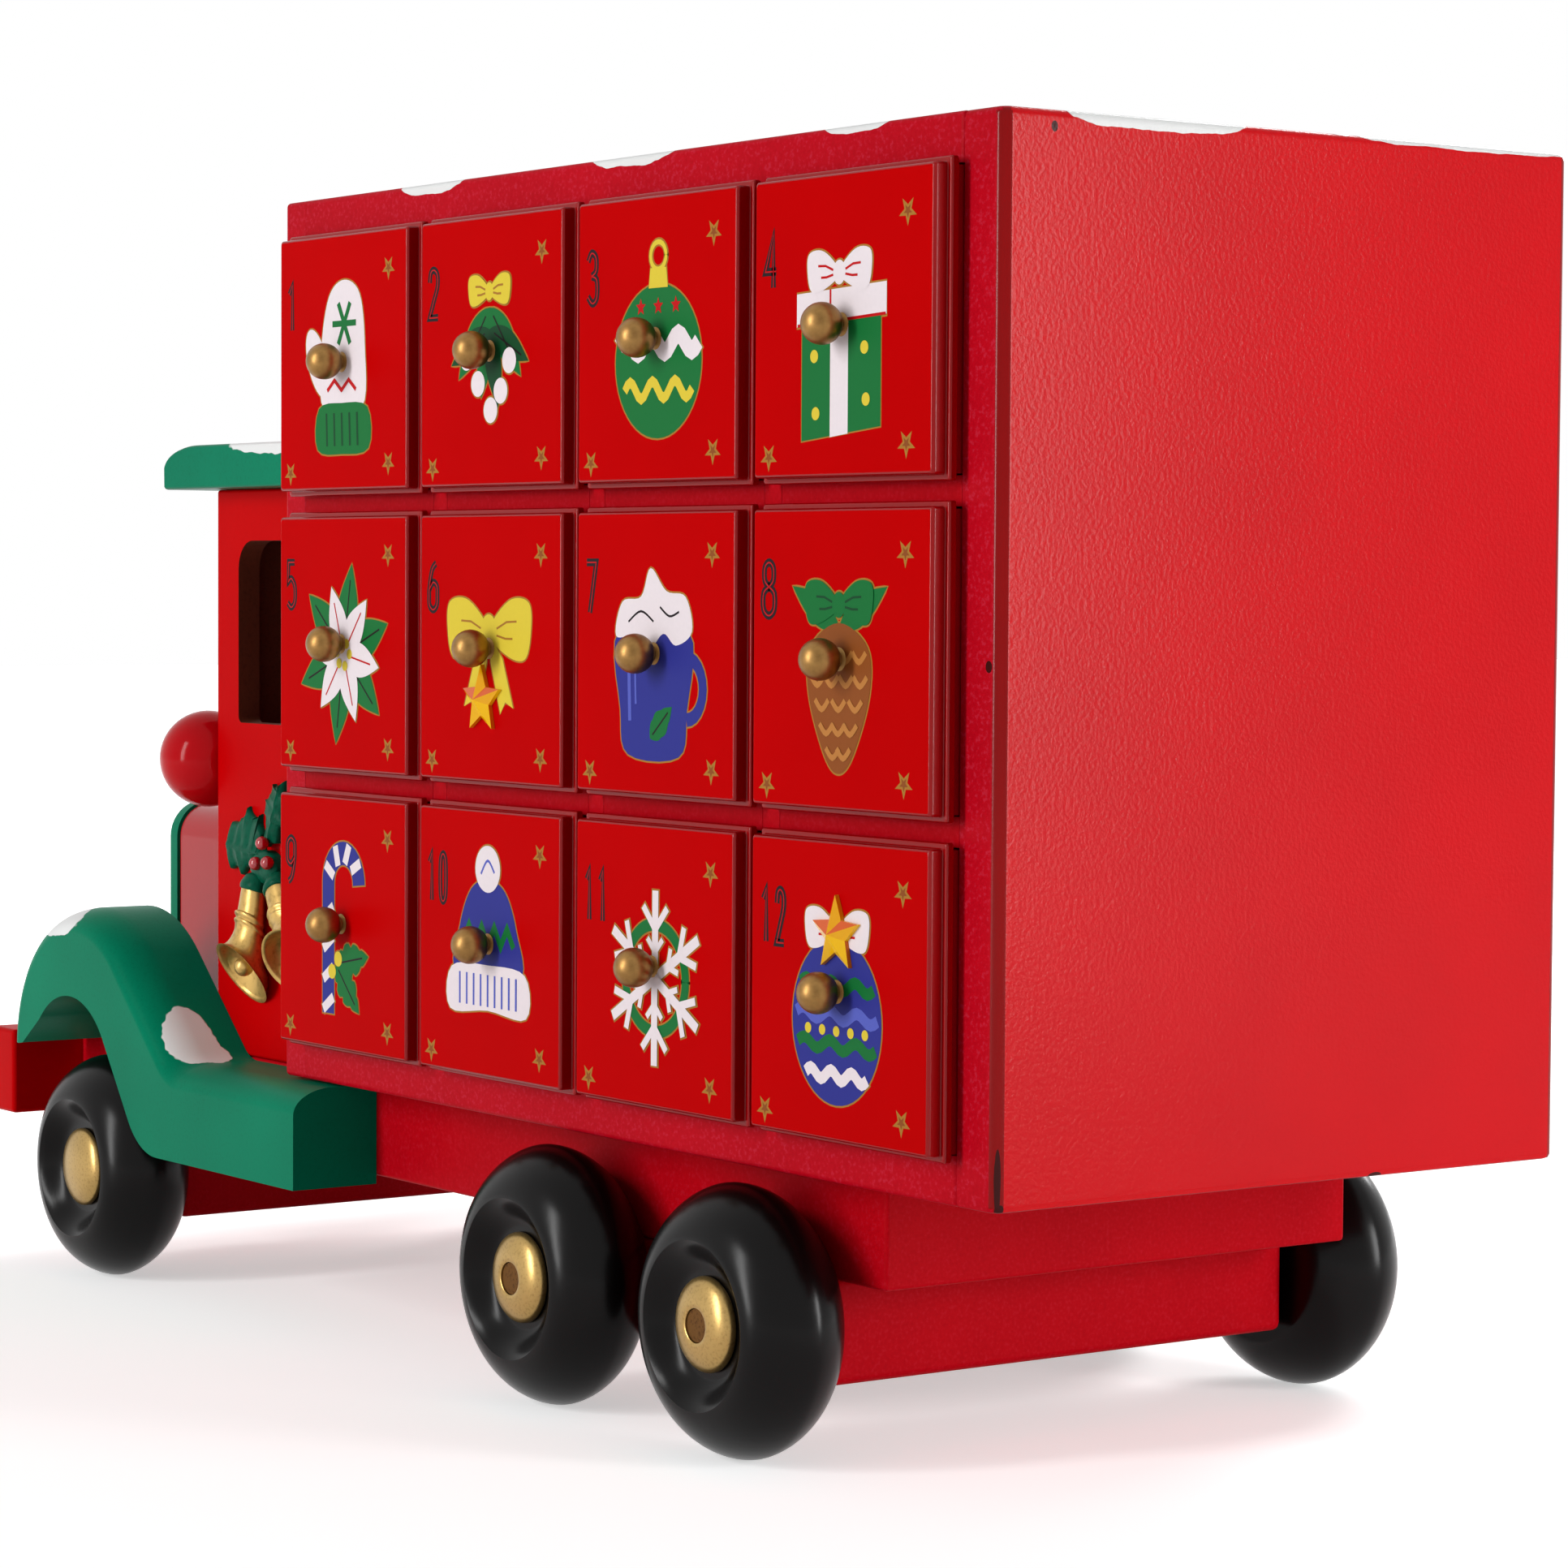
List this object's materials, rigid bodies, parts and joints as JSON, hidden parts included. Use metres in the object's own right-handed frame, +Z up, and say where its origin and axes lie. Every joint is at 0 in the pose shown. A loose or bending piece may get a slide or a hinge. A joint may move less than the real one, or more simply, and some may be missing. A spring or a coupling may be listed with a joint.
{
  "type": "truck advent calendar",
  "caption": "Painted wooden toy truck whose box body is an advent calendar: numbered pull-out drawers on both long sides, a cab, hood, fenders and free-turning wheels.",
  "frame": {"origin": "on the ground, in the middle of the truck's length and width", "axes": "+X towards the nose of the truck, +Y to its left side, +Z up"},
  "size_m": [0.3602, 0.1536, 0.2283],
  "materials": {
    "crimson_paint": "semi-gloss red paint on wood",
    "red_paint": "semi-gloss red paint on wood",
    "green_paint": "semi-gloss green paint on wood",
    "black_paint": "gloss black paint on wood",
    "drawer": "printed red front on a plywood tray, brass-coloured knob",
    "gold_paint": "metallic gold paint",
    "gem": "clear amber, faceted",
    "ornament": "gold and green painted casting"
  },
  "bodies": {
    "truck": {"box_front_end": "crimson_paint", "box_rear_end": "crimson_paint", "box_bottom": "crimson_paint", "box_top": "crimson_paint", "shelf_lower": "crimson_paint", "shelf_upper": "crimson_paint", "divider_rear": "crimson_paint", "divider_middle": "crimson_paint", "divider_front": "crimson_paint", "chassis_plank": "crimson_paint", "front_axle_block": "crimson_paint", "rear_axle_block": "crimson_paint", "cab_side_left": "red_paint", "cab_side_right": "red_paint", "cab_front": "red_paint", "cab_roof": "green_paint", "hood": "red_paint", "grille_surround": "green_paint", "bumper": "red_paint", "lamp_left": "red_paint", "lamp_right": "red_paint", "fender_left": "green_paint", "fender_right": "green_paint", "bell_ornament_left": "ornament", "bell_ornament_right": "ornament"},
    "drawer_01": {"drawer_01": "drawer"},
    "drawer_02": {"drawer_02": "drawer"},
    "drawer_03": {"drawer_03": "drawer"},
    "drawer_04": {"drawer_04": "drawer"},
    "drawer_05": {"drawer_05": "drawer"},
    "drawer_06": {"drawer_06": "drawer", "gem_star_06": "gem"},
    "drawer_07": {"drawer_07": "drawer"},
    "drawer_08": {"drawer_08": "drawer"},
    "drawer_09": {"drawer_09": "drawer"},
    "drawer_10": {"drawer_10": "drawer"},
    "drawer_11": {"drawer_11": "drawer"},
    "drawer_12": {"drawer_12": "drawer", "gem_star_12": "gem"},
    "drawer_13": {"drawer_13": "drawer"},
    "drawer_14": {"drawer_14": "drawer"},
    "drawer_15": {"drawer_15": "drawer"},
    "drawer_16": {"drawer_16": "drawer"},
    "drawer_17": {"drawer_17": "drawer"},
    "drawer_18": {"drawer_18": "drawer"},
    "drawer_19": {"drawer_19": "drawer"},
    "drawer_20": {"drawer_20": "drawer"},
    "drawer_21": {"drawer_21": "drawer"},
    "drawer_22": {"drawer_22": "drawer"},
    "drawer_23": {"drawer_23": "drawer"},
    "drawer_24": {"drawer_24": "drawer"},
    "front_wheels": {"axle_front": "gold_paint", "wheel_front_left": "black_paint", "wheel_front_right": "black_paint"},
    "middle_wheels": {"axle_middle": "gold_paint", "wheel_middle_left": "black_paint", "wheel_middle_right": "black_paint"},
    "rear_wheels": {"axle_rear": "gold_paint", "wheel_rear_left": "black_paint", "wheel_rear_right": "black_paint"}
  },
  "joints": [
    {"name": "drawer_01_slide", "type": "slide", "parent": "truck", "child": "drawer_01", "axis": [0, 1, 0], "range_m": [0, 0.065]},
    {"name": "drawer_02_slide", "type": "slide", "parent": "truck", "child": "drawer_02", "axis": [0, 1, 0], "range_m": [0, 0.065]},
    {"name": "drawer_03_slide", "type": "slide", "parent": "truck", "child": "drawer_03", "axis": [0, 1, 0], "range_m": [0, 0.065]},
    {"name": "drawer_04_slide", "type": "slide", "parent": "truck", "child": "drawer_04", "axis": [0, 1, 0], "range_m": [0, 0.065]},
    {"name": "drawer_05_slide", "type": "slide", "parent": "truck", "child": "drawer_05", "axis": [0, 1, 0], "range_m": [0, 0.065]},
    {"name": "drawer_06_slide", "type": "slide", "parent": "truck", "child": "drawer_06", "axis": [0, 1, 0], "range_m": [0, 0.065]},
    {"name": "drawer_07_slide", "type": "slide", "parent": "truck", "child": "drawer_07", "axis": [0, 1, 0], "range_m": [0, 0.065]},
    {"name": "drawer_08_slide", "type": "slide", "parent": "truck", "child": "drawer_08", "axis": [0, 1, 0], "range_m": [0, 0.065]},
    {"name": "drawer_09_slide", "type": "slide", "parent": "truck", "child": "drawer_09", "axis": [0, 1, 0], "range_m": [0, 0.065]},
    {"name": "drawer_10_slide", "type": "slide", "parent": "truck", "child": "drawer_10", "axis": [0, 1, 0], "range_m": [0, 0.065]},
    {"name": "drawer_11_slide", "type": "slide", "parent": "truck", "child": "drawer_11", "axis": [0, 1, 0], "range_m": [0, 0.065]},
    {"name": "drawer_12_slide", "type": "slide", "parent": "truck", "child": "drawer_12", "axis": [0, 1, 0], "range_m": [0, 0.065]},
    {"name": "drawer_13_slide", "type": "slide", "parent": "truck", "child": "drawer_13", "axis": [0, -1, 0], "range_m": [0, 0.065]},
    {"name": "drawer_14_slide", "type": "slide", "parent": "truck", "child": "drawer_14", "axis": [0, -1, 0], "range_m": [0, 0.065]},
    {"name": "drawer_15_slide", "type": "slide", "parent": "truck", "child": "drawer_15", "axis": [0, -1, 0], "range_m": [0, 0.065]},
    {"name": "drawer_16_slide", "type": "slide", "parent": "truck", "child": "drawer_16", "axis": [0, -1, 0], "range_m": [0, 0.065]},
    {"name": "drawer_17_slide", "type": "slide", "parent": "truck", "child": "drawer_17", "axis": [0, -1, 0], "range_m": [0, 0.065]},
    {"name": "drawer_18_slide", "type": "slide", "parent": "truck", "child": "drawer_18", "axis": [0, -1, 0], "range_m": [0, 0.065]},
    {"name": "drawer_19_slide", "type": "slide", "parent": "truck", "child": "drawer_19", "axis": [0, -1, 0], "range_m": [0, 0.065]},
    {"name": "drawer_20_slide", "type": "slide", "parent": "truck", "child": "drawer_20", "axis": [0, -1, 0], "range_m": [0, 0.065]},
    {"name": "drawer_21_slide", "type": "slide", "parent": "truck", "child": "drawer_21", "axis": [0, -1, 0], "range_m": [0, 0.065]},
    {"name": "drawer_22_slide", "type": "slide", "parent": "truck", "child": "drawer_22", "axis": [0, -1, 0], "range_m": [0, 0.065]},
    {"name": "drawer_23_slide", "type": "slide", "parent": "truck", "child": "drawer_23", "axis": [0, -1, 0], "range_m": [0, 0.065]},
    {"name": "drawer_24_slide", "type": "slide", "parent": "truck", "child": "drawer_24", "axis": [0, -1, 0], "range_m": [0, 0.065]},
    {"name": "front_axle_turn", "type": "hinge", "parent": "truck", "child": "front_wheels", "pos_m": [0.12943, 0, 0.0241], "axis": [0, 1, 0], "continuous": true},
    {"name": "middle_axle_turn", "type": "hinge", "parent": "truck", "child": "middle_wheels", "pos_m": [-0.05028, 0, 0.0241], "axis": [0, 1, 0], "continuous": true},
    {"name": "rear_axle_turn", "type": "hinge", "parent": "truck", "child": "rear_wheels", "pos_m": [-0.11077, 0, 0.0241], "axis": [0, 1, 0], "continuous": true}
  ]
}
